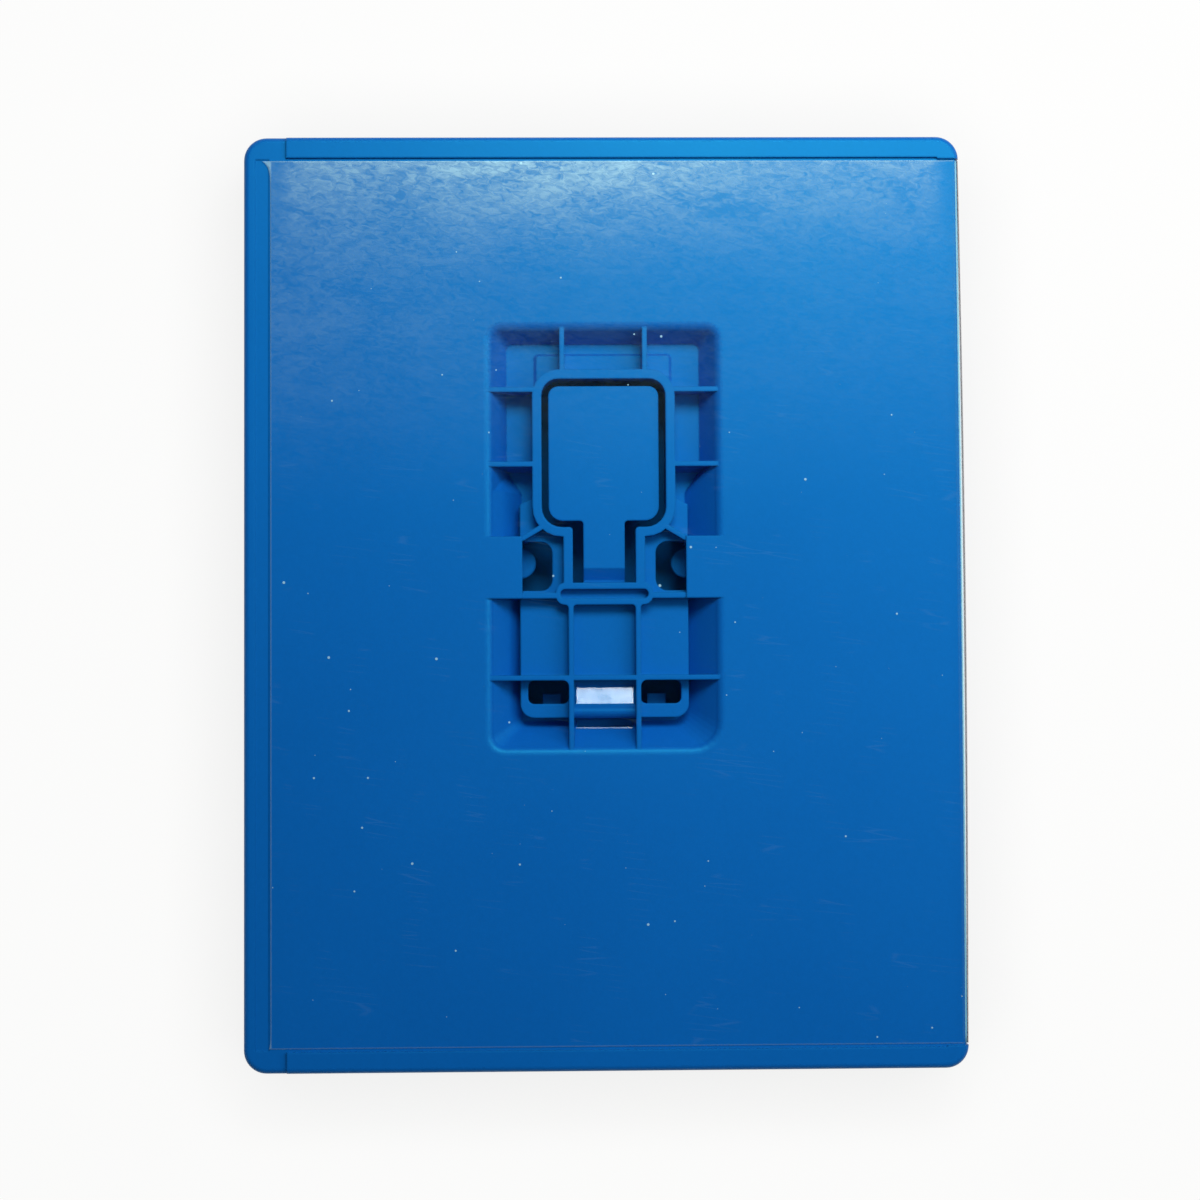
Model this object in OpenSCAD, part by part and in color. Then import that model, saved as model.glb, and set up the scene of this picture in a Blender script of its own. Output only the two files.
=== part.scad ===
// Game card case for a handheld console: a moulded plastic case in one piece,
// folded round its spine on two thin hinges, with a clear sleeve film outside.
// It lies closed on its front cover, so the ribbed back of the card tray is up.
// X runs from the opening edge to the spine, Y up the cover, Z out of the back.

/* [Case] */
// Width from the opening edge to the spine
case_w = 104; // [100:0.5:110]
// Height of the covers
case_h = 135; // [130:0.5:140]
// Thickness when closed, over the rims
case_t = 13; // [13:0.2:16]
// Radius of the four corners of the outline
corner_r = 3.3; // [3:0.1:3.6]
// Thickness of the outer walls
wall_t = 1.3; // [1:0.1:1.4]
// Thickness of the two cover panels
panel_t = 1.1; // [1:0.05:1.2]
// How far the rims stand proud of the panels
rim_step = 0.4; // [0.3:0.05:0.5]
// Rounding of the outer edges
edge_r = 0.8; // [0.5:0.1:1]
// Where the rims end, from the middle to the opening edge
rim_end = 45.8; // [40:0.2:47]

/* [Fold and closure] */
// Thickness of the two living hinges
web_t = 0.3; // [0.25:0.05:0.35]
// Width of each half of a living hinge
web_w = 0.95; // [0.8:0.05:1.2]
// Thickness of the spine
spine_t = 1.2; // [1:0.1:1.4]
// Gap between the two covers where they close
parting_gap = 0.1; // [0.1:0.02:0.2]
// Height of the lip that nests inside the back cover
lip_h = 1.15; // [0.8:0.05:1.4]
// Thickness of the lip
lip_t = 0.9; // [0.8:0.05:1]
// Gap between the lip and the wall round it
lip_gap = 0.25; // [0.25:0.01:0.3]

/* [Game card] */
// Width of the card's pocket
pocket_w = 22.2; // [22:0.1:22.4]
// Length of the card's pocket
pocket_l = 31.1; // [31:0.1:31.3]
// Depth of the card's pocket
pocket_d = 2.6; // [2.5:0.05:2.7]
// How far a side lip reaches over the pocket's edge
side_lip_r = 2.2; // [1.9:0.1:2.3]

/* [Tray] */
// Half width of the recess in the back
recess_w = 17.3; // [17:0.1:17.8]
// Upper end of the recess
recess_top = 40.4; // [40:0.1:42]
// Lower end of the recess
recess_bottom = -22.25; // [-23:0.05:-22]
// Depth of the recess behind the thumb hollow
recess_d = 4.2; // [4.1:0.05:4.3]
// Depth of the recess beside the card's pocket
low_recess_d = 4.9; // [4.8:0.05:5]
// Rounding of the recess's edge
recess_round = 1.4; // [1.2:0.1:1.5]
// Depth of the pocket's back below the cover's face
pocket_back_d = 2.2; // [2.1:0.05:2.3]
// Thickness of the ribs
rib_t = 0.72; // [0.6:0.02:0.9]
// How far the ribs stay below the cover's face
rib_sink = 0.18; // [0.1:0.02:0.3]

/* [Push tongue] */
// Half width of the paddle
pad_w = 8; // [7.6:0.1:8.1]
// Gap round the paddle
pad_gap = 1; // [0.9:0.05:1.1]
// Thickness of the frame round the paddle
frame_t = 1.35; // [1.2:0.05:1.4]
// Half width of the stem
stem_w = 3; // [2.6:0.1:3.2]
// How deep the paddle lies below the cover's face
pad_sink = 1.2; // [1.1:0.05:1.4]
// Thickness of the paddle and the stem
pad_t = 1.1; // [1:0.05:1.2]

/* [Sleeve] */
// Thickness of the clear film
film_t = 0.12; // [0.08:0.01:0.15]
// Gap between the film and the rims
film_gap = 0.45; // [0.3:0.05:0.6]

/* [Hidden] */
$fn = 64;
hull_fn = 32;
plate_t = 0.01;
slack = 0.1;

corner_x = case_w / 2 - corner_r;
corner_y = case_h / 2 - corner_r;
floor_h = rim_step + panel_t;
wall_h = (case_t - parting_gap) / 2;
bar_inset = 0.2;

// The fold lines lie inside the corner of the film and the webs
spine_sink = 0.15;
spine_face = case_w / 2 - spine_sink;
fold_x = spine_face - web_t;
fold_h = rim_step + web_t;
fold_gap = 0.02;
web_slope = 0.6;
spine_end_gap = 0.3;

// Tray levels are depths below the outer face of the back panel
panel_d = panel_t;
pocket_floor_d = pocket_back_d + 1;
tray_d = pocket_floor_d + pocket_d;
tray_floor_t = 1;
shell_t = 1.3;
wall_w = 1.1;
pocket_top = 15.7;
pocket_bottom = pocket_top - pocket_l;
pocket_in = pocket_w / 2;
pocket_out = pocket_in + wall_w;
land_x = 11.85;
land_top = 9.3;
land_bottom = 0.32;

// The recess in two zones: beside the pocket its walls run in as far as the pocket
zone_y = 19.8;
zone_lap = 0.25;
round_to = 60;
floor_w = 14.1;
floor_top = 37.7;
low_floor_w = pocket_out - 0.25;
low_floor_top = 18.9;
low_floor_bottom = -17.4;
knee_y = 15.9;
knee_w = 14;

// Paddle, frame and stem
pad_top = 31.2;
pad_bottom = 11.63;
pad_r = 1.45;
pad_low_r = 2.05;
frame_in = pad_w + pad_gap;
frame_top = pad_top + pad_gap;
frame_bottom = pad_bottom - pad_gap;
frame_r = 2.4;
frame_low_r = 2.9;
neck_in = stem_w + 1.55;
neck_r = 0.5;
root_y = 2.57;
root_gap = 0.07;
channel_x = 6.36;
channel_top = 1.66;
channel_low = 0.29;
channel_d = 1.5;
channel_rim_t = 0.88;

// Openings beside the snap lips
window_in = 7.5;
window_top = 8.66;
window_bottom = 1.5;
window_r = 1.7;
hole_in = 5.2;
hole_top = -11.5;
hole_bottom = -14.9;
hole_r = 0.9;
side_lip_x = 12.1;
side_lip_y = 5.7;
snap_t = 0.65;
snap_gap = 0.05;

// Ribs: where they stand across and along the recess
cross_ribs = [30.65, zone_y];
upper_rib_x = 6;
lower_rib_x = 4.85;
low_cross_rib = -11.15;

function arc(cx, cy, r, from, to, steps = 6) =
    [for (i = [0:steps]) let (a = from + (to - from) * i / steps) [cx + r * cos(a), cy + r * sin(a)]];

// Skin over anticlockwise rings, each at its own height. A ring has as many points on the right, from the
// bottom up, as on the left, from the top down, so that strips across close the two ends
module loft(rings, heights) {
    count = len(rings[0]);
    last = len(rings) - 1;
    strips = [for (k = [0:count / 2 - 2]) [k, k + 1, count - 2 - k, count - 1 - k]];
    top = last * count;
    polyhedron(
        points = [for (i = [0:last], p = rings[i]) [p[0], p[1], heights[i]]],
        faces = concat(
            strips,
            [for (q = strips) [top + q[3], top + q[2], top + q[1], top + q[0]]],
            [for (i = [0:last - 1], k = [0:count - 1])
                let (a = i * count + k, b = i * count + (k + 1) % count)
                each [[a, a + count, b], [b, a + count, b + count]]]
        )
    );
}

// Shapes shared by the covers

module rounded_rect(x0, x1, y0, y1, r) {
    translate([x0 + r, y0]) square([x1 - x0 - 2 * r, y1 - y0]);
    translate([x0, y0 + r]) square([x1 - x0, y1 - y0 - 2 * r]);
    for (x = [x0 + r, x1 - r], y = [y0 + r, y1 - r]) translate([x, y]) circle(r);
}

// Turns a cover's own frame, outer face down, over to the back of the case
module to_back() {
    translate([0, 0, case_t]) mirror([0, 0, 1]) children();
}

module mirror_x() {
    children();
    mirror([1, 0, 0]) children();
}

module mirror_y() {
    children();
    mirror([0, 1, 0]) children();
}

// Puts a section, drawn as distance outwards and height, along X
module run_x(from, to) {
    translate([from, 0, 0]) rotate([90, 0, 90]) linear_extrude(to - from) children();
}

// Section through a cover's edge: panel, rounded corner and wall
module edge_section(face_h) {
    step = face_h < rim_step ? bar_inset : 0;
    polygon(concat(
        [[0, floor_h], [0, rim_step], [step, rim_step], [step, face_h]],
        arc(corner_r - edge_r, face_h + edge_r, edge_r, -90, 0),
        [[corner_r, wall_h], [corner_r - wall_t, wall_h], [corner_r - wall_t, floor_h]]
    ));
}

// Section through a panel that thins to a living hinge at its right end
module hinged_panel_section() {
    web_end = fold_x - fold_gap;
    web_start = web_end - web_w;
    polygon([
        [-corner_x, rim_step], [web_end, rim_step], [web_end, fold_h],
        [web_start, fold_h], [web_start - web_slope, floor_h], [-corner_x, floor_h]
    ]);
}

// A cover without its fittings, outer face down
module cover_shell() {
    rotate([90, 0, 0]) translate([0, 0, -corner_y]) linear_extrude(2 * corner_y) hinged_panel_section();
    translate([-corner_x, 0, 0]) rotate([0, 0, 90]) run_x(-corner_y, corner_y) edge_section(rim_step);
    mirror_y() {
        translate([0, corner_y, 0]) {
            run_x(-corner_x, -rim_end) edge_section(rim_step);
            run_x(-rim_end, corner_x) edge_section(0);
        }
        translate([corner_x, corner_y, 0]) rotate_extrude(angle = 90) edge_section(0);
        translate([-corner_x, corner_y, 0]) rotate([0, 0, 90]) rotate_extrude(angle = 90) edge_section(rim_step);
    }
}

// Shallow weld groove of the film, beside the opening edge
module weld_groove() {
    groove_x = 50.3;
    groove_w = 2;
    groove_d = 0.12;
    translate([-groove_x, -corner_y, rim_step - slack]) cube([groove_w, 2 * corner_y, groove_d + slack]);
}

// Front cover, with the closing lip and the booklet clips

module lip_section() {
    outer = corner_r - wall_t - lip_gap;
    inner = outer - lip_t;
    root = corner_r - wall_t;
    lead = 0.25;
    root_l = 2.6;
    haunch = 1.4;
    polygon([
        [root, wall_h - root_l], [root, wall_h], [outer, wall_h], [outer, wall_h + lip_h - lead],
        [outer - lead, wall_h + lip_h], [inner, wall_h + lip_h], [inner, wall_h - haunch]
    ]);
}

module closing_lip() {
    lip_end = 40;
    translate([-corner_x, 0, 0]) rotate([0, 0, 90]) run_x(-corner_y, corner_y) lip_section();
    mirror_y() {
        translate([0, corner_y, 0]) run_x(-corner_x, lip_end) lip_section();
        translate([-corner_x, corner_y, 0]) rotate([0, 0, 90]) rotate_extrude(angle = 90) lip_section();
    }
}

// Two tall tongues on the lip steer the covers together
module closing_guides() {
    guide_y = 30;
    guide_w = 14;
    guide_h = 2.6;
    sunk = 0.4;
    lead = 0.2;
    draft = 0.1;
    outer = corner_r - wall_t - lip_gap;
    inner = outer - lip_t;
    translate([-corner_x, 0, 0]) rotate([0, 0, 90]) mirror_x()
        run_x(guide_y - guide_w / 2, guide_y + guide_w / 2) polygon([
            [outer, wall_h + lip_h - sunk], [outer - lead, wall_h + guide_h],
            [inner + draft, wall_h + guide_h], [inner, wall_h + lip_h - sunk]
        ]);
}

clip_y = 36;
clip_r = 6.5;
clip_x = -47.6;
clip_h = 2.3;
clip_t = 0.9;

// Half-round clip that holds a booklet, on a riser beside the wall
module booklet_clip() {
    translate([clip_x, clip_y, floor_h + clip_h]) intersection() {
        cylinder(h = clip_t, r = clip_r);
        translate([0, -clip_r, 0]) cube([clip_r, 2 * clip_r, clip_t]);
    }
    translate([clip_x - wall_w, clip_y - clip_r, floor_h - slack])
        cube([wall_w + slack, 2 * clip_r, clip_h + clip_t + slack]);
}

// The hole through the panel that the mould needs below a clip
module clip_hole() {
    margin = 0.5;
    translate([0, 0, rim_step - slack]) linear_extrude(panel_t + 2 * slack)
        rounded_rect(clip_x + slack, clip_x + clip_r + margin, clip_y - clip_r - margin, clip_y + clip_r + margin, 1);
}

module front_cover() {
    color("dodgerblue") {
        difference() {
            cover_shell();
            weld_groove();
            mirror_y() clip_hole();
        }
        closing_lip();
        closing_guides();
        mirror_y() booklet_clip();
    }
}

// Spine

module spine() {
    length = 2 * (corner_y - spine_end_gap);
    web_start = fold_h + fold_gap;
    thick_start = web_start + web_w + web_slope;
    color("dodgerblue") rotate([90, 0, 0]) translate([0, 0, -length / 2]) linear_extrude(length) polygon([
        [spine_face, web_start], [spine_face, case_t - web_start],
        [fold_x, case_t - web_start], [fold_x, case_t - web_start - web_w],
        [spine_face - spine_t, case_t - thick_start], [spine_face - spine_t, thick_start],
        [fold_x, web_start + web_w], [fold_x, web_start]
    ]);
}

// Back cover: the tray is a hollow block with ribs in it, open to the back

// Puts a flat shape at a depth below the cover's outer face
module at_depth(from, to) {
    translate([0, 0, rim_step + from]) linear_extrude(to - from) children();
}

// Section of the recess's rounded edge: depth and distance in from the outline
round_steps = [for (a = [0:15:round_to]) recess_round * [1 - cos(a), sin(a)]];
round_in = recess_round * sin(round_to);
round_d = recess_round * (1 - cos(round_to));

// Outline of the upper zone, which ends plainly under the cross rib between the zones
function upper_outline(x, top, r) = let (low = zone_y - zone_lap) concat(
    [[x, low]],
    arc(x - r, top - r, r, 0, 90, 5),
    arc(r - x, top - r, r, 90, 180, 5),
    [[-x, low]]
);

// Outline of the lower zone, wider above the knee and rounder at the lower right than at the lower left
function lower_outline(x, low, top_x, top, left_r, right_r) = concat(
    arc(x - right_r, low + right_r, right_r, -90, 0, 6),
    [[x, knee_y], [top_x, top], [-top_x, top], [-x, knee_y]],
    arc(left_r - x, low + left_r, left_r, 180, 270, 6)
);

function upper_ring(in) = upper_outline(recess_w - in, recess_top - in, 2.5 - in);
function lower_ring(in) =
    lower_outline(recess_w - in, recess_bottom + in, recess_w - in, zone_y + zone_lap, 2.9 - in, 4.6 - in);

// The block that the tray is cut from, seen inside the case
module tray_block() {
    grow = 0.75;
    start = round_in - shell_t;
    translate([0, 0, rim_step]) {
        loft([upper_ring(start), upper_outline(floor_w + grow, floor_top + grow, 1.4)],
            [round_d, recess_d + tray_floor_t]);
        loft([lower_ring(start), lower_outline(low_floor_w + grow, low_floor_bottom - grow, knee_w + grow,
            low_floor_top + grow, 1.4, 2.9)], [round_d, tray_d]);
    }
}

// The whole recess, before the ribs are left standing in it
module recess() {
    heights = [for (p = round_steps) p[0]];
    translate([0, 0, rim_step]) {
        loft(
            concat([upper_ring(0)], [for (p = round_steps) upper_ring(p[1])], [upper_outline(floor_w, floor_top, 0.9)]),
            concat([-slack], heights, [recess_d])
        );
        loft(
            concat([lower_ring(0)], [for (p = round_steps) lower_ring(p[1])],
                [lower_outline(low_floor_w, low_floor_bottom, knee_w, low_floor_top, 0.7, 2.2)]),
            concat([-slack], heights, [low_recess_d])
        );
    }
}

// Rounded rectangle with its own radius at the lower corners
module paddle_outline(x, y0, y1, r, low_r) {
    polygon(concat(
        arc(x - low_r, y0 + low_r, low_r, -90, 0), arc(x - r, y1 - r, r, 0, 90),
        arc(r - x, y1 - r, r, 90, 180), arc(low_r - x, y0 + low_r, low_r, 180, 270)
    ));
}

// The round of a corner that points up and to the right from the origin
module inner_corner(r) {
    difference() {
        translate([-slack, -slack]) square([r + slack, r + slack]);
        translate([r, r]) circle(r);
    }
}

// Outline of the paddle's opening and the stem's slot, grown by a margin
module tongue_opening(margin) {
    paddle_outline(
        frame_in + margin, frame_bottom - margin, frame_top + margin, frame_r + margin, frame_low_r + margin
    );
    translate([-neck_in - margin, root_y - margin])
        square([2 * (neck_in + margin), frame_bottom - root_y + 2 * frame_r]);
    if (margin == 0) mirror_x() translate([neck_in, frame_bottom]) mirror([0, 1]) inner_corner(neck_r);
}

module frame_outline() {
    tongue_opening(frame_t);
}

// Outside of the pocket, with cut upper corners and round lower ones
shoulder_y = 14.05;
shoulder_slope = 0.5;

module pocket_back_outline() {
    low = pocket_bottom - wall_w - 0.4;
    low_r = 2;
    shoulder_x = pocket_out - (pocket_top - shoulder_y) / shoulder_slope;
    polygon(concat(
        arc(pocket_out - low_r, low + low_r, low_r, -90, 0),
        [[pocket_out, shoulder_y], [shoulder_x, pocket_top], [-shoulder_x, pocket_top], [-pocket_out, shoulder_y]],
        arc(low_r - pocket_out, low + low_r, low_r, 180, 270)
    ));
}

module pocket_outline() {
    cut_y = shoulder_y - wall_w / 2;
    cut_top = cut_y + (pocket_in - frame_in) * shoulder_slope;
    polygon([
        [-pocket_in, pocket_bottom], [pocket_in, pocket_bottom], [pocket_in, cut_y], [frame_in, cut_top],
        [frame_in, pocket_top], [-frame_in, pocket_top], [-frame_in, cut_top], [-pocket_in, cut_y]
    ]);
}

// Ribs that run across and along the recess, with rounds below the low cross rib
module rib_outlines() {
    reach = recess_w + 1;
    start = frame_in + frame_t / 2;
    round_r = 1;
    for (y = cross_ribs) mirror_x() translate([start, y - rib_t / 2]) square([reach - start, rib_t]);
    translate([-reach, low_cross_rib - rib_t / 2]) square([2 * reach, rib_t]);
    mirror_x() {
        translate([upper_rib_x - rib_t / 2, frame_top + frame_t / 2]) square([rib_t, recess_top - frame_top]);
        translate([lower_rib_x - rib_t / 2, recess_bottom - 1]) square([rib_t, 1 - recess_bottom]);
        translate([lower_rib_x + rib_t / 2, low_cross_rib - rib_t / 2]) mirror([0, 1]) inner_corner(round_r);
    }
}

// Ribs that tie the frame to the lands beside the pocket
module tie_outlines() {
    tie_from = [land_x + rib_t, land_top - rib_t];
    tie_to = [frame_in + 0.1, frame_bottom];
    low_tie_t = 0.82;
    tie = tie_to - tie_from;
    mirror_x() {
        translate(tie_from) rotate(atan2(tie[1], tie[0])) translate([0, -rib_t / 2]) square([norm(tie), rib_t]);
        translate([channel_x, land_bottom]) square([land_x - channel_x + slack, low_tie_t]);
    }
}

// Flat channel across the root of the stem, with round ends and rounds where the lower ribs join it
module channel_rim() {
    rim_x = channel_x + 0.65;
    rim_r = 1.3;
    round_r = 0.5;
    low = channel_low - channel_rim_t;
    rounded_rect(-rim_x, rim_x, low, root_y, rim_r);
    mirror_x() for (side = [-1, 1]) translate([lower_rib_x + side * rib_t / 2, low])
        mirror([side < 0 ? 1 : 0, 0]) mirror([0, 1]) inner_corner(round_r);
}

module channel_inside() {
    rounded_rect(-channel_x, channel_x, channel_low, channel_top, (channel_top - channel_low) / 2 - 0.02);
}

// The cover's face goes on beside the pocket, where fingers reach the card
module lands() {
    mirror_x() translate([land_x, land_bottom]) square([recess_w, land_top - land_bottom]);
}

// Back of the thumb hollow above the frame
hollow_back_d = 3.8;
thumb_d = 4.7;

module hollow_back() {
    hull() {
        plateau(hollow_back_d, 9.7, 21, 36, 0.4);
        plateau(recess_d + slack, 10.2, 20.5, 36.4, 0.8);
    }
}

// Thin plate that a hull joins to the next, x to each side and from low to top
module plateau(depth, x, low, top, r) {
    at_depth(depth, depth + plate_t) rounded_rect(-x, x, low, top, r, $fn = hull_fn);
}

module thumb_hollow() {
    hull() {
        plateau(thumb_d, 9.3, 21.4, 35.4, 1.4);
        plateau(recess_d + tray_floor_t + slack, 9.8, 20.9, 35.9, 1.8);
    }
}

// Section, along Y and depth, of the ramp at the pocket's lower end
ramp_foot = [-12.1, pocket_back_d];
ramp_crest = [-14.9, 1.35];
ramp_nose = -17;
keep_d = low_recess_d + slack;

module ramp() {
    nose_r = 1.1;
    nose_fall = 0.08;
    half = 4.12;
    translate([-half, 0, rim_step]) rotate([90, 0, 90]) linear_extrude(2 * half) polygon([
        [ramp_foot[0] + slack, keep_d], ramp_foot, ramp_crest, [ramp_crest[0], keep_d]
    ]);
    translate([-lower_rib_x, 0, rim_step]) rotate([90, 0, 90]) linear_extrude(2 * lower_rib_x)
        polygon(concat(
            [[ramp_crest[0], keep_d], ramp_crest],
            arc(ramp_nose + nose_r, ramp_crest[1] + nose_r + nose_fall, nose_r, -75, -180, 5),
            [[ramp_nose, keep_d]]
        ));
}

// The scoop that the ramp leaves under the end of the card
module nail_scoop() {
    half = 3.7;
    skin = 0.95;
    translate([-half, 0, rim_step]) rotate([90, 0, 90]) linear_extrude(2 * half) polygon([
        [ramp_foot[0], pocket_floor_d + slack], ramp_foot + [0, pocket_floor_d - pocket_back_d],
        ramp_crest + [0, skin], [pocket_bottom, ramp_crest[1] + skin], [pocket_bottom, pocket_floor_d + slack]
    ]);
}

// Small well in the recess behind the ramp's nose, with a narrow facet along its lower edge
module nose_well() {
    half = 4.05;
    start = ramp_nose - 0.2;
    low = -18.3;
    facet = 0.22;
    facet_d = 3.95;
    facet_rise = 0.07;
    above = 2;
    well_d = low_recess_d + slack;
    translate([-half, 0, rim_step]) rotate([90, 0, 90]) linear_extrude(2 * half) polygon([
        [start, well_d], [start, above], [low - facet, above], [low - facet, facet_d - facet_rise],
        [low, facet_d], [low, well_d]
    ]);
}

// What is cut out of the tray from the back, between the ribs
module cells() {
    difference() {
        recess();
        at_depth(rib_sink, keep_d) difference() {
            union() {
                frame_outline();
                rib_outlines();
                tie_outlines();
                channel_rim();
            }
            channel_inside();
        }
        at_depth(channel_d, keep_d) channel_inside();
        at_depth(pocket_back_d, keep_d) pocket_back_outline();
        at_depth(-2 * slack, keep_d) lands();
        hollow_back();
        ramp();
    }
}

// What is cut out of the tray from inside the case
module card_pocket() {
    at_depth(pocket_floor_d, tray_d + slack) pocket_outline();
    nail_scoop();
}

module finger_notches() {
    reach = recess_w + shell_t + 1;
    mirror_x() at_depth(panel_d, tray_d + slack)
        translate([land_x, land_bottom + wall_w]) square([reach - land_x, land_top - land_bottom - 2 * wall_w]);
}

module tongue_cut() {
    at_depth(-slack, tray_d + slack) tongue_opening(0);
}

module windows() {
    mirror_x() {
        at_depth(-slack, tray_d + slack) {
            rounded_rect(window_in, land_x, window_bottom, window_top, window_r);
            translate([land_x - window_r - slack, window_bottom])
                square([window_r + slack, window_top - window_bottom]);
        }
        at_depth(-slack, pocket_floor_d + slack) rounded_rect(hole_in, pocket_in, hole_bottom, hole_top, hole_r);
    }
}

// Snap lips, which reach over the edges of the card

module side_snap() {
    post_w = 4;
    lip_d = tray_d + snap_gap;
    taper = 0.4;
    at_depth(panel_d - slack, lip_d + snap_t)
        translate([side_lip_x, side_lip_y - post_w / 2]) square([wall_w, post_w]);
    intersection() {
        translate([side_lip_x, side_lip_y, rim_step + lip_d])
            cylinder(h = snap_t, r1 = side_lip_r, r2 = side_lip_r - taper);
        at_depth(lip_d, lip_d + snap_t) translate([side_lip_x - side_lip_r, side_lip_y - side_lip_r])
            square([side_lip_r + slack, 2 * side_lip_r]);
    }
}

module end_snap() {
    lip_x = 6.3;
    lip_w = 2.7;
    reach = 1.95;
    lead = 0.3;
    embed = 0.5;
    tip = pocket_bottom + reach;
    lip_d = tray_d + snap_gap;
    translate([lip_x, 0, rim_step]) rotate([90, 0, 90]) linear_extrude(lip_w) polygon([
        [pocket_bottom - wall_w + slack, tray_d - embed], [pocket_bottom, tray_d - embed],
        [pocket_bottom, lip_d], [tip, lip_d], [tip, lip_d + lead], [tip - embed, lip_d + snap_t],
        [pocket_bottom - wall_w + embed, lip_d + snap_t]
    ]);
}

module back_cover() {
    color("dodgerblue") to_back() {
        difference() {
            union() {
                cover_shell();
                tray_block();
            }
            weld_groove();
            cells();
            card_pocket();
            finger_notches();
            thumb_hollow();
            tongue_cut();
            windows();
            nose_well();
        }
        mirror_x() {
            side_snap();
            end_snap();
        }
    }
}

// Push tongue: a paddle on a bending stem, with the catch of the card on it

module paddle() {
    at_depth(pad_sink, pad_sink + pad_t) {
        paddle_outline(pad_w, pad_bottom, pad_top, pad_r, pad_low_r);
        mirror_x() translate([stem_w, pad_bottom]) mirror([0, 1]) inner_corner(neck_r);
    }
}

// Section, along Y and depth, of the stem, which dips to the pocket's floor at its root
module stem() {
    dip = 4.7;
    foot = 3;
    turn = 0.35;
    root = root_y + root_gap;
    back = pad_sink;
    inner = pad_sink + pad_t;
    translate([-stem_w, 0, rim_step]) rotate([90, 0, 90]) linear_extrude(2 * stem_w) polygon([
        [pad_bottom + slack, back], [dip, back], [foot, pocket_back_d], [root, pocket_back_d],
        [root, pocket_floor_d], [foot + turn, pocket_floor_d], [dip + turn, inner], [pad_bottom + slack, inner]
    ]);
}

// Hook over the upper end of the card, with two gussets behind it
module catch() {
    half = 6.5;
    front = pocket_top + 0.1;
    back = front + wall_w;
    base = pad_sink + pad_t - slack;
    lip_d = tray_d + 2 * snap_gap;
    tip_d = lip_d + 0.6;
    hook = 0.55;
    lead = 0.25;
    gusset = 3.2;
    gusset_t = 0.9;
    gusset_in = 1.5;
    gusset_sink = 0.8;
    translate([-half, 0, rim_step]) rotate([90, 0, 90]) linear_extrude(2 * half) polygon([
        [front, base], [front, lip_d], [front - hook, lip_d], [front - hook, lip_d + lead],
        [front, tip_d], [back, tip_d], [back, base]
    ]);
    mirror_x() translate([half - gusset_in, 0, rim_step]) rotate([90, 0, 90]) linear_extrude(gusset_t) polygon([
        [back - slack, base], [back - slack, tip_d - gusset_sink], [back + gusset, base]
    ]);
}

module push_tongue() {
    color("royalblue") to_back() {
        paddle();
        stem();
        catch();
    }
}

// Clear film, one panel for each face that it covers

module sleeve_panel() {
    left = 48.3;
    fold_margin = 0.15;
    corner = 0.5;
    half = corner_y + bar_inset - film_gap;
    color("lightskyblue", 0.4) translate([0, 0, rim_step - film_t]) linear_extrude(film_t)
        rounded_rect(-left, fold_x - fold_margin, -half, half, corner);
}

module sleeve_front() {
    sleeve_panel();
}

module sleeve_back() {
    to_back() sleeve_panel();
}

module sleeve_spine() {
    half = corner_y - spine_end_gap - 0.1;
    fold_margin = 0.15;
    start = fold_h + fold_margin;
    color("lightskyblue", 0.4) translate([spine_face, -half, start])
        cube([film_t, 2 * half, case_t - 2 * start]);
}

front_cover();
spine();
back_cover();
push_tongue();
sleeve_front();
sleeve_spine();
sleeve_back();
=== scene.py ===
import math

import bmesh
import bpy
import numpy as np
from mathutils import Matrix, Vector


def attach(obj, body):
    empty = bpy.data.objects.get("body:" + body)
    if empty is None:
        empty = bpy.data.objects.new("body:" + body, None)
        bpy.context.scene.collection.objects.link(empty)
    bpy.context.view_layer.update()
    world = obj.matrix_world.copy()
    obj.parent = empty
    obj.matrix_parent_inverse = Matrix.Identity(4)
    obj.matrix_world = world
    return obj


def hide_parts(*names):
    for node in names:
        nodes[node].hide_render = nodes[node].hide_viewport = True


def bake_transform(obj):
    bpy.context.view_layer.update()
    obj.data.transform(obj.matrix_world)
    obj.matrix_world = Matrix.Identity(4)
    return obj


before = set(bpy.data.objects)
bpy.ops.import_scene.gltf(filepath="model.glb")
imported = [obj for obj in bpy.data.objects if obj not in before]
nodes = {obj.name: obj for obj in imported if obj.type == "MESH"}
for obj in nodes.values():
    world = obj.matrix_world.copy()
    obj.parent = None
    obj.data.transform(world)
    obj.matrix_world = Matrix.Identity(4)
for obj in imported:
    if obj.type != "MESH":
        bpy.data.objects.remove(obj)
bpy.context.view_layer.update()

MM = 0.001


def mm(*values):
    """A point or size given in millimetres, in metres."""
    return tuple(v * MM for v in values)


# Places on the case, in millimetres. The spine is at +X, and the film's open top at +Y

CASE_T = 13.0
FILM_T = 0.12
PANEL_BACK = 12.6
PANEL_FRONT = 0.4
FILM_HALF_H = 63.95
FILM_LEFT = -48.1
FILM_RIGHT = 51.3
SPINE_FACE = 51.85
SPINE_LOW = 0.85
SPINE_HIGH = 12.15
FOLD_X = 51.55
FOLD_BACK = 12.3
FOLD_FRONT = 0.7
FOLD_LEAD = 0.45
WEB_FACE = 0.3
WEB_INNER = 0.03
WEB_HALF_H = 63.7
BEND_OUTER = 0.42
BEND_INNER = 0.31
BOW = 0.4
FLARE = 1.2
PILLOW = 0.1
FILM_GAP = 0.004

# Polished faces of the tray: middle and half size of the box that holds each

RAMP_FACE = ((0, -13.5, 10.85), (4.2, 1.5, 0.6))
WELL_LEAD = ((0, -18.41, 8.68), (4.1, 0.2, 0.12))

# The film lies inside this box, with its cut edges along the box's faces

FILM_BOX = ((14.2, 0, 6.5), (62.3, FILM_HALF_H, 9))
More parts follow.
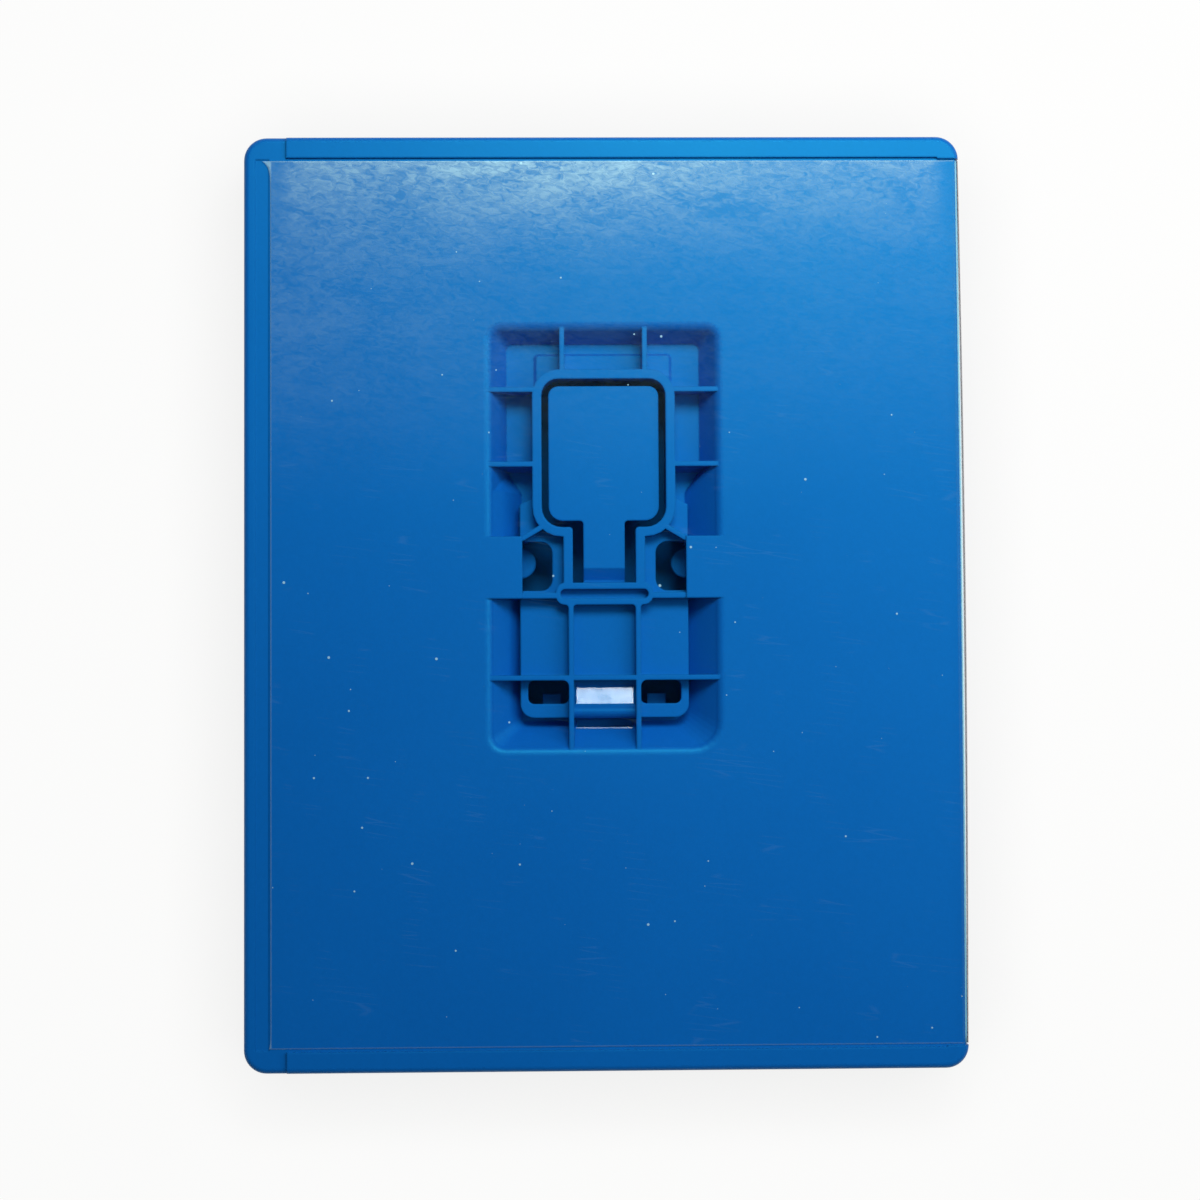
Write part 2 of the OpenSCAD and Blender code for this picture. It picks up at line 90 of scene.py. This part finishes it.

# Where the haze on the film begins and is full, the first two along Y and the others along X. The band at
# the top is partly real haze and partly painted sheen.

HAZE_SHEEN_TOP = (44, 64)
HAZE_BELOW = (12, 54)
HAZE_SHEEN_LEFT = (-47.2, -44.4)
HAZE_SHEEN_RIGHT = (50.6, 47.0)
HAZE_OPEN_SIDE = (0, -44)
HAZE_SHEEN_MIDDLE_X = -6
HAZE_SHEEN_MIDDLE_REACH = 38

# The share of the surface that each mark hides on the flat film. The top band is partly painted sheen, and
# the cut edges are a painted highlight.

VEIL = 0.028
VEIL_OPEN_SIDE = 0.05
TOP_BAND = 0.2
TOP_BAND_MIDDLE = 0.25
# Painted highlight along the film's cut edges
CUT_EDGE_HIGHLIGHT = 0.34
SCRATCHES = 0.02
DUST = 0.6
SLANT_LIMIT = 0.3

# The same on the bent film, and the parts of the bend's width over which its crown and its edge show. The
# crown's light is a painted highlight, and the edge's grey-brown is painted shade.

BEND_PLAIN = 0.02
BEND_STREAKS = 0.03
BEND_CROWN_HIGHLIGHT = 0.5
BEND_EDGE_SHADE = 0.66
CROWN_STARTS = (0.36, 0.46)
CROWN_ENDS = (0.66, 0.58)
EDGE_STARTS = (0.64, 0.74)

# Plastic: radius of its edges in millimetres, polish of the lead against the ramp's, rise of the coat

EDGE_RADIUS = 0.36
LEAD_POLISH = 0.3
COAT_RISE = 0.04

# Linear colours

BLUE = (0.002, 0.108, 0.45)
BLUE_SHEEN = (0.05, 0.85, 1.0, 1)
# Colour of the film's haze and painted sheen, also of its painted edge highlight, scratches and dust
HAZE_SHEEN_BLUE = (0.46, 0.84, 1.0, 1)
# Painted highlight on the crown of the bent film, and painted shade where it is seen edge-on
CROWN_HIGHLIGHT_BLUE = (0.4, 0.9, 1.0, 1)
EDGE_SHADE_BROWN = (0.1, 0.085, 0.085, 1)
FLAT_FILM_TINT = (0.992, 0.997, 1, 1)
BENT_FILM_TINT = (0.985, 0.992, 1, 1)
GROUND_WHITE = (0.93, 0.93, 0.925, 1)
FLOOR_WHITE = (1, 1, 0.995, 1)
FILL_WHITE = (0.93, 0.97, 1, 1)


# Meshes

def grid_faces(rows, columns, wrap=False):
    """Quads between neighbouring points of a grid stored row by row.

    With wrap, the last column joins the first."""
    across = columns if wrap else columns - 1
    i, j = np.meshgrid(np.arange(rows - 1), np.arange(across), indexing="ij")
    k = (j + 1) % columns
    quads = np.stack([i * columns + j, i * columns + k, (i + 1) * columns + k, (i + 1) * columns + j], -1)
    return quads.reshape(-1, 4)


def new_piece(name, points, faces, material, smooth=True):
    """A mesh object from arrays of points in millimetres and of faces with equal corner counts."""
    mesh = bpy.data.meshes.new(name)
    corners = faces.shape[1]
    mesh.vertices.add(len(points))
    mesh.vertices.foreach_set("co", (np.asarray(points, float) * MM).ravel())
    mesh.loops.add(faces.size)
    mesh.loops.foreach_set("vertex_index", faces.ravel().astype(np.int32))
    mesh.polygons.add(len(faces))
    mesh.polygons.foreach_set("loop_start", np.arange(0, faces.size, corners, dtype=np.int32))
    mesh.update(calc_edges=True)
    mesh.validate()
    mesh.polygons.foreach_set("use_smooth", np.full(len(mesh.polygons), smooth))
    mesh.materials.append(material)
    piece = bpy.data.objects.new(name, mesh)
    bpy.context.scene.collection.objects.link(piece)
    return piece


def face_outwards(piece):
    """Turns all faces of a closed piece outwards."""
    work = bmesh.new()
    work.from_mesh(piece.data)
    bmesh.ops.recalc_face_normals(work, faces=work.faces)
    work.to_mesh(piece.data)
    work.free()


def bowed(y):
    """How far the film stands off the spine at height y: a half wave, 0 at both ends."""
    return BOW * np.cos(np.pi * y / (2 * FILM_HALF_H))


def soft_step(value, low, high):
    """0 below low, 1 above high, 3t^2 - 2t^3 between."""
    t = np.clip((value - low) / (high - low), 0, 1)
    return t * t * (3 - 2 * t)


# Shader building

def add(tree, kind, values=None, **settings):
    """A new shader node with its settings and the values or links of its inputs."""
    node = tree.nodes.new(kind)
    for key, value in settings.items():
        setattr(node, key, value)
    for key, value in (values or {}).items():
        socket = node.inputs[key]
        if isinstance(value, bpy.types.NodeSocket):
            tree.links.new(value, socket)
        else:
            socket.default_value = value
    return node


def calc(tree, operation, *values, clamp=False):
    """The result socket of one Math node."""
    node = add(tree, "ShaderNodeMath", dict(enumerate(values)), operation=operation, use_clamp=clamp)
    return node.outputs[0]


def total(tree, *values):
    """The sum of several sockets or numbers."""
    result = values[0]
    for value in values[1:]:
        result = calc(tree, "ADD", result, value)
    return result


def product(tree, *values):
    """The product of several sockets or numbers."""
    result = values[0]
    for value in values[1:]:
        result = calc(tree, "MULTIPLY", result, value)
    return result


def ramp(tree, value, low, high, out_low=0.0, out_high=1.0, kind="SMOOTHSTEP"):
    """Value mapped from low..high to out_low..out_high with soft ends."""
    return add(tree, "ShaderNodeMapRange", {0: value, 1: low, 2: high, 3: out_low, 4: out_high},
               interpolation_type=kind).outputs[0]


def vector(tree, operation, first, second):
    """The result of one Vector Math node. For SCALE the second value is a number."""
    place = 3 if operation == "SCALE" else 1
    return add(tree, "ShaderNodeVectorMath", {0: first, place: second}, operation=operation).outputs[0]


def noise(tree, place, scale, detail, roughness=0.5, distortion=0.0, dimensions="3D"):
    """The value of one Noise Texture, 0 to 1. Scale is in features a metre."""
    return add(tree, "ShaderNodeTexNoise", {
        "Vector": place, "Scale": scale, "Detail": detail, "Roughness": roughness, "Distortion": distortion,
    }, noise_dimensions=dimensions).outputs[0]


def new_group(name, inputs, outputs):
    """An empty shader group. Inputs are name: (kind, default), outputs are name: kind."""
    tree = bpy.data.node_groups.new(name, "ShaderNodeTree")
    for key, (kind, default) in inputs.items():
        tree.interface.new_socket(key, in_out="INPUT", socket_type=kind).default_value = default
    for key, kind in outputs.items():
        tree.interface.new_socket(key, in_out="OUTPUT", socket_type=kind)
    return tree, tree.nodes.new("NodeGroupInput").outputs, tree.nodes.new("NodeGroupOutput").inputs


def place_group(tree, group, values):
    """A group placed in a material with its inputs set. Its inputs exist only once the group is chosen."""
    node = tree.nodes.new("ShaderNodeGroup")
    node.node_tree = group
    for key, value in values.items():
        if isinstance(value, bpy.types.NodeSocket):
            tree.links.new(value, node.inputs[key])
        else:
            node.inputs[key].default_value = value
    return node.outputs


def new_material(name):
    """An empty node material, its tree and its output's Surface socket."""
    material = bpy.data.materials.new(name)
    material.use_nodes = True
    tree = material.node_tree
    tree.nodes.clear()
    surface = tree.nodes.new("ShaderNodeOutputMaterial").inputs["Surface"]
    return material, tree, surface


def moulded_skin():
    """Skin of a moulded part: a fine spark-eroded grain and slow changes of tone along the flow.

    Height = grain noise x Grain. Tone = 1 + Drift x slow noise + Speckle x fine noise.
    Sheen = slow noise, for roughness."""
    tree, inputs, outputs = new_group("moulded_skin", {
        "Position": ("NodeSocketVector", (0, 0, 0)),
        "Grain": ("NodeSocketFloat", 1.0),
        "Drift": ("NodeSocketFloat", 0.05),
        "Speckle": ("NodeSocketFloat", 0.06),
    }, {"Tone": "NodeSocketFloat", "Sheen": "NodeSocketFloat", "Height": "NodeSocketFloat"})
    place = inputs["Position"]
    slow = noise(tree, place, 28.0, 2.0)
    grain = noise(tree, place, 2600.0, 1.0, roughness=0.6)
    pits = noise(tree, place, 900.0, 1.0)
    both = total(tree, product(tree, grain, 0.6), product(tree, pits, 0.4))
    tree.links.new(product(tree, both, inputs["Grain"]), outputs["Height"])
    drift = product(tree, calc(tree, "SUBTRACT", slow, 0.5), inputs["Drift"], 2.0)
    speckle = product(tree, calc(tree, "SUBTRACT", both, 0.5), inputs["Speckle"], 4.0)
    tree.links.new(total(tree, drift, speckle, 1.0), outputs["Tone"])
    tree.links.new(slow, outputs["Sheen"])
    return tree


def box_mask():
    """1 inside a box and 0 outside, with an edge as wide as Soft.

    Mask = the least of (half size - distance from the centre) over the three axes, over Soft."""
    tree, inputs, outputs = new_group("box_mask", {
        "Position": ("NodeSocketVector", (0, 0, 0)),
        "Centre": ("NodeSocketVector", (0, 0, 0)),
        "Half size": ("NodeSocketVector", (1, 1, 1)),
        "Soft": ("NodeSocketFloat", 0.0002),
    }, {"Mask": "NodeSocketFloat"})
    offset = vector(tree, "SUBTRACT", inputs["Position"], inputs["Centre"])
    size = add(tree, "ShaderNodeVectorMath", {0: offset}, operation="ABSOLUTE").outputs[0]
    room = vector(tree, "SUBTRACT", inputs["Half size"], size)
    parts = add(tree, "ShaderNodeSeparateXYZ", {0: room}).outputs
    least = calc(tree, "MINIMUM", calc(tree, "MINIMUM", parts[0], parts[1]), parts[2])
    tree.links.new(calc(tree, "DIVIDE", least, inputs["Soft"], clamp=True), outputs["Mask"])
    return tree


def film_wear():
    """Wear of a soft clear film: grainy streaks, fine scratches that run nearly along X, and dust.

    Streak = noise stretched along X, 0 to 1. Scratch = distance to the edges of long thin cells, under a
    thread's width, in patches. Dust = distance to scattered cell points, under a grain's radius."""
    tree, inputs, outputs = new_group("film_wear", {
        "Position": ("NodeSocketVector", (0, 0, 0)),
        "Turn": ("NodeSocketFloat", 0.1),
    }, {"Streak": "NodeSocketFloat", "Scratch": "NodeSocketFloat", "Dust": "NodeSocketFloat"})
    turned = add(tree, "ShaderNodeVectorRotate", {"Vector": inputs["Position"], "Angle": inputs["Turn"]},
                 rotation_type="Z_AXIS").outputs[0]
    flat = vector(tree, "MULTIPLY", turned, (1, 1, 0))
    long = vector(tree, "MULTIPLY", flat, (0.45, 1, 1))
    wide = noise(tree, long, 210.0, 3.0, roughness=0.72, distortion=0.6, dimensions="2D")
    fine = noise(tree, long, 1500.0, 2.0, roughness=0.7, distortion=0.8, dimensions="2D")
    streak = total(tree, product(tree, wide, 0.45), product(tree, fine, 0.55))
    tree.links.new(ramp(tree, streak, 0.36, 0.64, kind="LINEAR"), outputs["Streak"])
    thin = vector(tree, "MULTIPLY", flat, (0.05, 1, 1))
    cells = add(tree, "ShaderNodeTexVoronoi", {"Vector": thin, "Scale": 900.0},
                feature="DISTANCE_TO_EDGE", voronoi_dimensions="2D").outputs["Distance"]
    patch = noise(tree, flat, 160.0, 1.0, dimensions="2D")
    scratch = product(tree, ramp(tree, cells, 0.05, 0.0), ramp(tree, patch, 0.56, 0.7))
    tree.links.new(scratch, outputs["Scratch"])
    grains = add(tree, "ShaderNodeTexVoronoi", {"Vector": flat, "Scale": 260.0},
                 feature="F1", voronoi_dimensions="2D")
    pick = add(tree, "ShaderNodeSeparateXYZ", {0: grains.outputs["Color"]}).outputs
    size = calc(tree, "SUBTRACT", product(tree, calc(tree, "POWER", pick[0], 12.0), 0.06), 0.012)
    gap = calc(tree, "SUBTRACT", grains.outputs["Distance"], size)
    tree.links.new(ramp(tree, gap, 0.008, 0.0), outputs["Dust"])
    return tree


SKIN = moulded_skin()
BOX = box_mask()
WEAR = film_wear()


def inside_box(tree, place, box, soft):
    """1 inside a box given in millimetres by its middle and half size, with an edge as wide as soft."""
    middle, half_size = box
    return place_group(tree, BOX, {
        "Position": place, "Centre": mm(*middle), "Half size": mm(*half_size), "Soft": soft * MM,
    })["Mask"]


def blue_plastic():
    """Satin blue polypropylene with a moulded grain, polished on two faces of the tray.

    The polish lies in the coat: on the ramp below the card and, fainter, on the lead of its well.
    The coat's height rises along Y, which turns its mirror a few degrees towards the viewer."""
    material, tree, surface = new_material("blue_plastic")
    place = add(tree, "ShaderNodeTexCoord").outputs["Object"]
    skin = place_group(tree, SKIN, {"Position": place, "Grain": 1.0, "Drift": 0.04, "Speckle": 0.04})
    flow = noise(tree, vector(tree, "MULTIPLY", place, (1, 0.35, 0)), 520.0, 2.0)
    uneven = ramp(tree, flow, 0.35, 0.6, 0.68, 0.95)
    ramp_face = product(tree, inside_box(tree, place, RAMP_FACE, 0.12), uneven)
    well_lead = product(tree, inside_box(tree, place, WELL_LEAD, 0.05), LEAD_POLISH)
    polished = calc(tree, "MAXIMUM", ramp_face, well_lead)
    toned = vector(tree, "SCALE", BLUE, skin["Tone"])
    rough = total(tree, 0.36, product(tree, skin["Sheen"], 0.14))
    edge = add(tree, "ShaderNodeBevel", {"Radius": EDGE_RADIUS * MM}, samples=2).outputs[0]
    grain = add(tree, "ShaderNodeBump", {
        "Strength": 0.22, "Distance": 0.03 * MM, "Height": skin["Height"], "Normal": edge,
    }).outputs[0]
    along = add(tree, "ShaderNodeSeparateXYZ", {0: place}).outputs[1]
    lean = add(tree, "ShaderNodeBump", {
        "Strength": 1.0, "Distance": 1.0, "Height": product(tree, along, COAT_RISE),
    }).outputs[0]
    shader = add(tree, "ShaderNodeBsdfPrincipled", {
        "Base Color": toned, "Roughness": rough, "Normal": grain,
        "IOR": 1.49, "Specular IOR Level": 0.75, "Specular Tint": BLUE_SHEEN,
        "Coat Weight": polished, "Coat Roughness": 0.06, "Coat IOR": 1.55, "Coat Normal": lean,
    }).outputs[0]
    tree.links.new(shader, surface)
    return material


def link_film(tree, surface, cover, tint, values):
    """A see-through shader and a Principled one, joined by cover, which counts on outer faces only."""
    outer = calc(tree, "SUBTRACT", 1.0, add(tree, "ShaderNodeNewGeometry").outputs["Backfacing"])
    share = calc(tree, "MULTIPLY", cover, outer, clamp=True)
    clear = add(tree, "ShaderNodeBsdfTransparent", {"Color": tint}).outputs[0]
    values = {"IOR": 1.45, "Specular IOR Level": 0.3, **values}
    skin = add(tree, "ShaderNodeBsdfPrincipled", values).outputs[0]
    tree.links.new(add(tree, "ShaderNodeMixShader", {0: share, 1: clear, 2: skin}).outputs[0], surface)


def clear_film():
    """Soft clear film with a grainy haze and a painted sheen under the open top, a painted highlight along
    its cut edges, scratches and dust.

    Cover, the share of the surface that hides what is below, = haze + edges + marks + slant.
    Haze = (a band near the top, fullest in the middle, + a weak veil, stronger towards the opening side) x
    streaks. The band is partly real haze and partly painted sheen, lighter towards the top as the lamp's
    reflection off the film would be."""
    material, tree, surface = new_material("clear_film")
    place = add(tree, "ShaderNodeTexCoord").outputs["Object"]
    wear = place_group(tree, WEAR, {"Position": place, "Turn": 0.12})
    x, y = add(tree, "ShaderNodeSeparateXYZ", {0: place}).outputs[:2]
    # Painted sheen, partly real haze: the film gets lighter in a band towards its top, fullest in the
    # middle
    near_top = calc(tree, "POWER", ramp(tree, y, *mm(*HAZE_SHEEN_TOP), kind="LINEAR"), 2.2)
    open_side = product(tree, ramp(tree, x, *mm(*HAZE_OPEN_SIDE)), VEIL_OPEN_SIDE)
    veil = product(tree, ramp(tree, y, *mm(*HAZE_BELOW)), total(tree, VEIL, open_side))
    off_middle = calc(tree, "ABSOLUTE", calc(tree, "SUBTRACT", x, HAZE_SHEEN_MIDDLE_X * MM))
    towards_middle = ramp(tree, off_middle, HAZE_SHEEN_MIDDLE_REACH * MM, 0.0)
    middle = total(tree, TOP_BAND, product(tree, towards_middle, TOP_BAND_MIDDLE))
    inside = product(tree, ramp(tree, x, *mm(*HAZE_SHEEN_LEFT)), ramp(tree, x, *mm(*HAZE_SHEEN_RIGHT)))
    streaks = total(tree, 0.35, product(tree, wear["Streak"], 1.3))
    # This holds the painted sheen of the top band as well as the real haze and veil
    haze = product(tree, total(tree, product(tree, near_top, middle, inside), veil), streaks)
    # Painted highlight: a light line along the film's cut edges, where the film meets the faces of its box
    off_edges = inside_box(tree, place, FILM_BOX, 0.2)
    edges = product(tree, calc(tree, "SUBTRACT", 1.0, off_edges), CUT_EDGE_HIGHLIGHT)
    marks = total(tree, product(tree, wear["Scratch"], SCRATCHES), product(tree, wear["Dust"], DUST))
    grazing = add(tree, "ShaderNodeLayerWeight", {"Blend": 0.05}).outputs["Fresnel"]
    slant = calc(tree, "MINIMUM", grazing, SLANT_LIMIT)
    cover = total(tree, haze, edges, marks, slant)
    link_film(tree, surface, cover, FLAT_FILM_TINT, {"Base Color": HAZE_SHEEN_BLUE, "Roughness": 0.45})
    return material


def bent_film():
    """The film where it bends over the spine: a painted highlight along its crown, painted grey-brown shade
    where it is seen edge-on.

    The attribute across runs from 0 at the cover's end of the bend to 1 at its outermost line."""
    material, tree, surface = new_material("bent_film")
    place = add(tree, "ShaderNodeTexCoord").outputs["Object"]
    wear = place_group(tree, WEAR, {"Position": place, "Turn": 0.12})
    across = add(tree, "ShaderNodeAttribute", attribute_name="across").outputs["Fac"]
    # Painted shade towards the bend's outer line and a painted highlight along its crown
    dark = ramp(tree, across, *EDGE_STARTS)
    crown = product(tree, ramp(tree, across, *CROWN_STARTS), ramp(tree, across, *CROWN_ENDS))
    streaks = product(tree, wear["Streak"], BEND_STREAKS)
    light = product(tree, crown, BEND_CROWN_HIGHLIGHT)
    brown = product(tree, dark, BEND_EDGE_SHADE)
    cover = total(tree, BEND_PLAIN, light, brown, streaks)
    # Painted highlight colour on the crown, painted shade colour on the edge
    mixed = add(tree, "ShaderNodeMix", {0: dark, 6: CROWN_HIGHLIGHT_BLUE, 7: EDGE_SHADE_BROWN}, data_type="RGBA")
    colour = mixed.outputs[2]
    link_film(tree, surface, cover, BENT_FILM_TINT, {"Base Color": colour, "Roughness": 0.35})
    return material


plastic = blue_plastic()
film = clear_film()
bend = bent_film()

for name in ("front_cover", "spine", "back_cover", "push_tongue"):
    nodes[name].data.materials.clear()
    nodes[name].data.materials.append(plastic)


# Film sheets over the two covers and the spine

def closed_sheet(name, upper, lower, rows, columns, material):
    """A thin closed piece between two grids of points with the same layout, joined round their rim."""
    count = rows * columns
    grid = np.arange(count).reshape(rows, columns)
    rim = np.concatenate([grid[0, :-1], grid[:-1, -1], grid[-1, :0:-1], grid[:0:-1, 0]])
    ahead = np.roll(rim, -1)
    quads = grid_faces(rows, columns)
    edge = np.stack([rim, rim + count, ahead + count, ahead], -1)
    faces = np.concatenate([quads, quads[:, ::-1] + count, edge])
    piece = new_piece(name, np.concatenate([upper.reshape(-1, 3), lower.reshape(-1, 3)]), faces, material)
    face_outwards(piece)
    return piece


def cover_film(name, back):
    """The film over one cover: its edge flares at the top left corner, and it lies a little pillowed.

    Left edge = FILM_LEFT - FLARE exp(-(top - y) / 0.8) - 0.25 exp(-(y - bottom) / 0.5).
    Lift = PILLOW x half waves along both sides, each to the power 0.6."""
    rows, columns = 97, 61
    v, u = np.meshgrid(np.linspace(-1, 1, rows), np.linspace(0, 1, columns) ** 1.4, indexing="ij")
    v = np.sign(v) * (1 - (1 - np.abs(v)) ** 1.4)
    y = v * FILM_HALF_H
    top_flare = FLARE * np.exp(-(FILM_HALF_H - y) / 0.8)
    low_flare = 0.25 * np.exp(-(FILM_HALF_H + y) / 0.5)
    left = FILM_LEFT - top_flare - low_flare
    x = left + (FILM_RIGHT - left) * u
    lift = PILLOW * np.cos(np.pi * v / 2) ** 0.6 * np.sin(np.pi * u) ** 0.6
    face = PANEL_BACK if back else PANEL_FRONT
    up = 1 if back else -1
    outer = np.stack([x, y, face + up * (lift + FILM_T)], -1)
    inner = np.stack([x, y, face + up * (lift + FILM_GAP)], -1)
    return closed_sheet(name, outer, inner, rows, columns, film)


def spine_film():
    """The film over the spine, which stands off it in a shallow bow along its length."""
    rows, columns = 97, 21
    v, u = np.meshgrid(np.linspace(-1, 1, rows), np.linspace(0, 1, columns), indexing="ij")
    y = v * FILM_HALF_H
    z = SPINE_LOW + (SPINE_HIGH - SPINE_LOW) * u
    inner_x = SPINE_FACE + FILM_GAP + bowed(y)
    inner = np.stack([inner_x, y, z], -1)
    outer = np.stack([inner_x + FILM_T, y, z], -1)
    return closed_sheet("spine_film", outer, inner, rows, columns, film)


rear_sheet = cover_film("rear_film", True)
front_sheet = cover_film("front_film", False)
spine_sheet = spine_film()
for piece, body, node in (
    (rear_sheet, "back_cover", "sleeve_back"),
    (front_sheet, "front_cover", "sleeve_front"),
    (spine_sheet, "spine", "sleeve_spine"),
):
    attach(piece, body)
    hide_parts(node)


# Hinge webs and film round the two folds

def fold_profile(radius, steps):
    """Section of a layer round the fold: straight over the cover, a quarter circle, down the spine."""
    angle = np.radians(np.linspace(90, 0, steps))
    turn = np.stack([np.cos(angle), np.sin(angle)], 1) * radius
    return np.concatenate([[[-FOLD_LEAD, radius]], turn, [[radius, -FOLD_LEAD]]])


def fold_strip(name, outer, inner, half_h, back, material, bow, steps=12, rows=97):
    """A quarter round strip along Y about a fold line, from the cover's face to the spine's face.

    Point = fold line + radius x (cos a, sin a), mirrored in Z for the front fold. With bow, the spine's end
    follows the film that stands off the spine."""
    outline = np.concatenate([fold_profile(outer, steps), fold_profile(inner, steps)[::-1]])
    fold_z = FOLD_BACK if back else FOLD_FRONT
    up = 1 if back else -1
    y = np.linspace(-half_h, half_h, rows)[:, None]
    points = np.empty((rows, len(outline), 3))
    share = soft_step(outline[:, 0], -0.2, outer)
    points[..., 0] = FOLD_X + outline[:, 0] + bow * share * bowed(y)
    points[..., 1] = y
    points[..., 2] = fold_z + up * outline[:, 1]
    quads = grid_faces(rows, len(outline), wrap=True)
    count = len(outline)
    caps = []
    for start in (0, (rows - 1) * count):
        a = start + np.arange(count // 2 - 1)
        b = start + count - 1 - np.arange(count // 2 - 1)
        cap = np.stack([a, a + 1, b - 1, b], 1)
        caps.append(cap if start else cap[:, ::-1])
    piece = new_piece(name, points.reshape(-1, 3), np.concatenate([quads] + caps), material)
    near, far = points[..., 0].min(axis=1, keepdims=True), points[..., 0].max(axis=1, keepdims=True)
    across = (points[..., 0] - near) / (far - near)
    piece.data.attributes.new("across", "FLOAT", "POINT").data.foreach_set("value", across.ravel())
    face_outwards(piece)
    return piece


def blend_over_fold(piece, back):
    """Bakes the strip's transform into its mesh, the same way for either fold."""
    if back:
        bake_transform(piece)
    else:
        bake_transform(piece)


for back, word in ((True, "rear"), (False, "front")):
    web = fold_strip(f"{word}_hinge_web", WEB_FACE - 0.01, WEB_INNER, WEB_HALF_H, back, plastic, bow=0.0)
    blend_over_fold(web, back)
    wrap = fold_strip(f"{word}_film_fold", BEND_OUTER, BEND_INNER, FILM_HALF_H - 0.05, back, bend, bow=1.0)
    blend_over_fold(wrap, back)


# Floor, light and camera

def white_floor():
    """White ground, at its own colour to the camera and in mirrors, a little dimmed close to the case by a
    painted contact shadow from ambient occlusion.
    """
    material, tree, surface = new_material("white_floor")
    path = add(tree, "ShaderNodeLightPath").outputs
    seen = calc(tree, "MAXIMUM", calc(tree, "MAXIMUM", path["Is Camera Ray"], path["Is Glossy Ray"]),
                path["Is Transmission Ray"])
    # Painted contact shadow: the white dims where ambient occlusion finds the case close
    open_share = add(tree, "ShaderNodeAmbientOcclusion", {"Distance": 14 * MM}, samples=2).outputs["AO"]
    ground = add(tree, "ShaderNodeBsdfDiffuse", {"Color": GROUND_WHITE}).outputs[0]
    white = add(tree, "ShaderNodeEmission", {
        "Color": FLOOR_WHITE, "Strength": ramp(tree, open_share, 0.3, 1.0, 0.86, 0.985, kind="LINEAR"),
    }).outputs[0]
    share = product(tree, seen, 0.95)
    tree.links.new(add(tree, "ShaderNodeMixShader", {0: share, 1: ground, 2: white}).outputs[0], surface)
    return material


FLOOR_REACH = 2500.0
corners = np.array([[-1, -1, 0], [1, -1, 0], [1, 1, 0], [-1, 1, 0]]) * FLOOR_REACH
floor = new_piece("floor", corners, np.array([[0, 1, 2, 3]]), white_floor(), smooth=False)

world = bpy.data.worlds.new("room")
bpy.context.scene.world = world
world.use_nodes = True
tree = world.node_tree
tree.nodes.clear()
path = add(tree, "ShaderNodeLightPath").outputs
fill = add(tree, "ShaderNodeBackground", {"Color": FILL_WHITE, "Strength": 0.17}).outputs[0]
white = add(tree, "ShaderNodeBackground", {"Color": (1, 1, 1, 1), "Strength": 1.0}).outputs[0]
room = add(tree, "ShaderNodeMixShader", {0: path["Is Camera Ray"], 1: fill, 2: white}).outputs[0]
tree.links.new(room, add(tree, "ShaderNodeOutputWorld").inputs["Surface"])


def soft_lamp(name, distance, zenith, azimuth, size, power):
    """A rectangular lamp that faces the case's middle. Distance and size are in metres, power in watts.

    Zenith is its angle from +Z, azimuth its angle from +Y towards +X, both in degrees."""
    data = bpy.data.lights.new(name, "AREA")
    data.shape = "RECTANGLE"
    data.size, data.size_y = size
    data.energy = power
    lamp = bpy.data.objects.new(name, data)
    bpy.context.scene.collection.objects.link(lamp)
    z, a = math.radians(zenith), math.radians(azimuth)
    away = Vector((math.sin(z) * math.sin(a), math.sin(z) * math.cos(a), math.cos(z)))
    lamp.location = Vector(mm(0, 0, CASE_T)) + away * distance
    lamp.rotation_mode = "QUATERNION"
    lamp.rotation_quaternion = (-away).to_track_quat("-Z", "Y")
    lamp.visible_camera = False


soft_lamp("window", distance=0.3, zenith=35, azimuth=13, size=(0.163, 0.103), power=0.62)
soft_lamp("side_fill", distance=0.3, zenith=50, azimuth=72, size=(0.2, 0.2), power=0.36)

# The camera is above the case, a little towards its lower left, and turned by a small vector in radians

CAMERA_PLACE = (-8.15, -14.79, 361.8)
TURN = Vector((0.0425, -0.0213, -0.0056))
FOCAL_PIXELS = 2422
PHOTO_PIXELS = 1200
camera_data = bpy.data.cameras.new("camera")
camera_data.sensor_width = 36.0
camera_data.lens = camera_data.sensor_width * FOCAL_PIXELS / PHOTO_PIXELS
camera = bpy.data.objects.new("camera", camera_data)
bpy.context.scene.collection.objects.link(camera)
camera.matrix_world = Matrix.Translation(mm(*CAMERA_PLACE)) @ Matrix.Rotation(TURN.length, 4, TURN)
bpy.context.scene.camera = camera
bpy.context.scene.view_settings.view_transform = "Standard"
